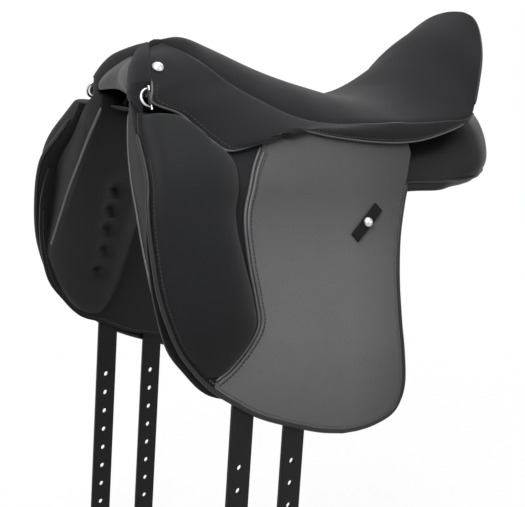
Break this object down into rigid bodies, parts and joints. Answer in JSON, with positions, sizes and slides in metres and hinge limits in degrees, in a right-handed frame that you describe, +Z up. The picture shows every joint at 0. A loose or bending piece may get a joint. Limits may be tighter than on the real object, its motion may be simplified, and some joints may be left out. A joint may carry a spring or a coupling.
{
  "type": "dressage saddle",
  "caption": "Dressage saddle with a deep suede seat, long straight flaps with thigh blocks, tufted panels and long girth straps with punched holes.",
  "frame": {"origin": "on the centre line, at the level where the panels bear on the horse's back, 157 mm ahead of the middle of the cantle", "axes": "+X forwards to the pommel, +Y to the horse's left (near) side, +Z up"},
  "size_m": [0.5032, 0.417, 0.6915],
  "materials": {
    "laminate": "laminated beech, sealed",
    "steel": "brushed",
    "foam": "open-cell foam",
    "suede": "matt napped leather",
    "black_leather": "smooth with a soft shine",
    "dark_leather": "smooth grained",
    "grey_leather": "smooth grained",
    "canvas_black": "woven lining",
    "webbing": "woven webbing",
    "brass": "plain",
    "chrome": "polished"
  },
  "bodies": {
    "saddle": {"tree_pan": "laminate", "tree_head": "laminate", "gullet_plate": "steel", "gullet_plate_screws": "steel", "seat_foam": "foam", "seat_cover": "suede", "seat_welt": "black_leather", "cantle_facing": "suede", "pommel_facing": "grey_leather", "channel_lining": "canvas_black", "pommel_studs": "chrome", "skirt_left": "suede", "skirt_right": "suede", "sweat_flap_left": "dark_leather", "sweat_flap_right": "dark_leather", "panel_left": "dark_leather", "panel_right": "dark_leather", "knee_pad_left": "dark_leather", "knee_pad_right": "dark_leather", "panel_welt_left": "black_leather", "panel_welt_right": "black_leather", "girth_webs": "webbing", "strap_rivets": "brass", "stirrup_bar_left": "steel", "stirrup_bar_right": "steel", "bar_rivets": "steel", "catch_pins": "steel", "ring_chape_left": "black_leather", "ring_chape_right": "black_leather"},
    "flap_left": {"flap_left": "grey_leather", "flap_piping_left": "black_leather", "thigh_block_left": "suede", "block_piping_left": "black_leather", "keeper_left": "black_leather", "keeper_stud_left": "chrome"},
    "skirt_lobe_left": {"skirt_lobe_left": "suede"},
    "girth_strap_front_left": {"girth_strap_front_left": "black_leather"},
    "girth_strap_rear_left": {"girth_strap_rear_left": "black_leather"},
    "bar_catch_left": {"bar_catch_left": "steel"},
    "ring_left": {"ring_left": "chrome"},
    "flap_right": {"flap_right": "grey_leather", "flap_piping_right": "black_leather", "thigh_block_right": "suede", "block_piping_right": "black_leather", "keeper_right": "black_leather", "keeper_stud_right": "chrome"},
    "skirt_lobe_right": {"skirt_lobe_right": "suede"},
    "girth_strap_front_right": {"girth_strap_front_right": "black_leather"},
    "girth_strap_rear_right": {"girth_strap_rear_right": "black_leather"},
    "bar_catch_right": {"bar_catch_right": "steel"},
    "ring_right": {"ring_right": "chrome"}
  },
  "joints": [
    {"name": "flap_left_lift", "type": "hinge", "parent": "saddle", "child": "flap_left", "pos_m": [0, 0.159, 0.06], "axis": [0.9777, -0.1858, 0.0978], "range_deg": [0, 60]},
    {"name": "skirt_left_lift", "type": "hinge", "parent": "saddle", "child": "skirt_lobe_left", "pos_m": [0, 0.159, 0.06], "axis": [0.9777, -0.1858, 0.0978], "range_deg": [0, 60]},
    {"name": "strap_front_left_swing", "type": "hinge", "parent": "saddle", "child": "girth_strap_front_left", "pos_m": [0.218, 0.16241, -0.006], "axis": [0, 0.9591, 0.2831], "range_deg": [-8, 2]},
    {"name": "strap_rear_left_swing", "type": "hinge", "parent": "saddle", "child": "girth_strap_rear_left", "pos_m": [0.155, 0.16241, -0.006], "axis": [0, 0.9591, 0.2831], "range_deg": [-2, 8]},
    {"name": "catch_left_turn", "type": "hinge", "parent": "saddle", "child": "bar_catch_left", "pos_m": [0.167, 0.0944, 0.086], "axis": [0, -1, 0], "range_deg": [0, 60]},
    {"name": "ring_left_swing", "type": "hinge", "parent": "saddle", "child": "ring_left", "pos_m": [0.28885, 0.07527, 0.10183], "axis": [0, -0.4515, 0.8923], "range_deg": [0, 40]},
    {"name": "flap_right_lift", "type": "hinge", "parent": "saddle", "child": "flap_right", "pos_m": [0, -0.159, 0.06], "axis": [-0.9777, -0.1858, -0.0978], "range_deg": [0, 60]},
    {"name": "skirt_right_lift", "type": "hinge", "parent": "saddle", "child": "skirt_lobe_right", "pos_m": [0, -0.159, 0.06], "axis": [-0.9777, -0.1858, -0.0978], "range_deg": [0, 60]},
    {"name": "strap_front_right_swing", "type": "hinge", "parent": "saddle", "child": "girth_strap_front_right", "pos_m": [0.218, -0.16241, -0.006], "axis": [0, 0.9591, -0.2831], "range_deg": [-8, 2]},
    {"name": "strap_rear_right_swing", "type": "hinge", "parent": "saddle", "child": "girth_strap_rear_right", "pos_m": [0.155, -0.16241, -0.006], "axis": [0, 0.9591, -0.2831], "range_deg": [-2, 8]},
    {"name": "catch_right_turn", "type": "hinge", "parent": "saddle", "child": "bar_catch_right", "pos_m": [0.167, -0.0944, 0.086], "axis": [0, -1, 0], "range_deg": [0, 60]},
    {"name": "ring_right_swing", "type": "hinge", "parent": "saddle", "child": "ring_right", "pos_m": [0.28885, -0.07527, 0.10183], "axis": [0, -0.4515, -0.8923], "range_deg": [0, 40]}
  ],
  "couplings": [
    {"joint": "skirt_left_lift", "follows": "flap_left_lift", "ratio": 1},
    {"joint": "skirt_right_lift", "follows": "flap_right_lift", "ratio": 1}
  ]
}
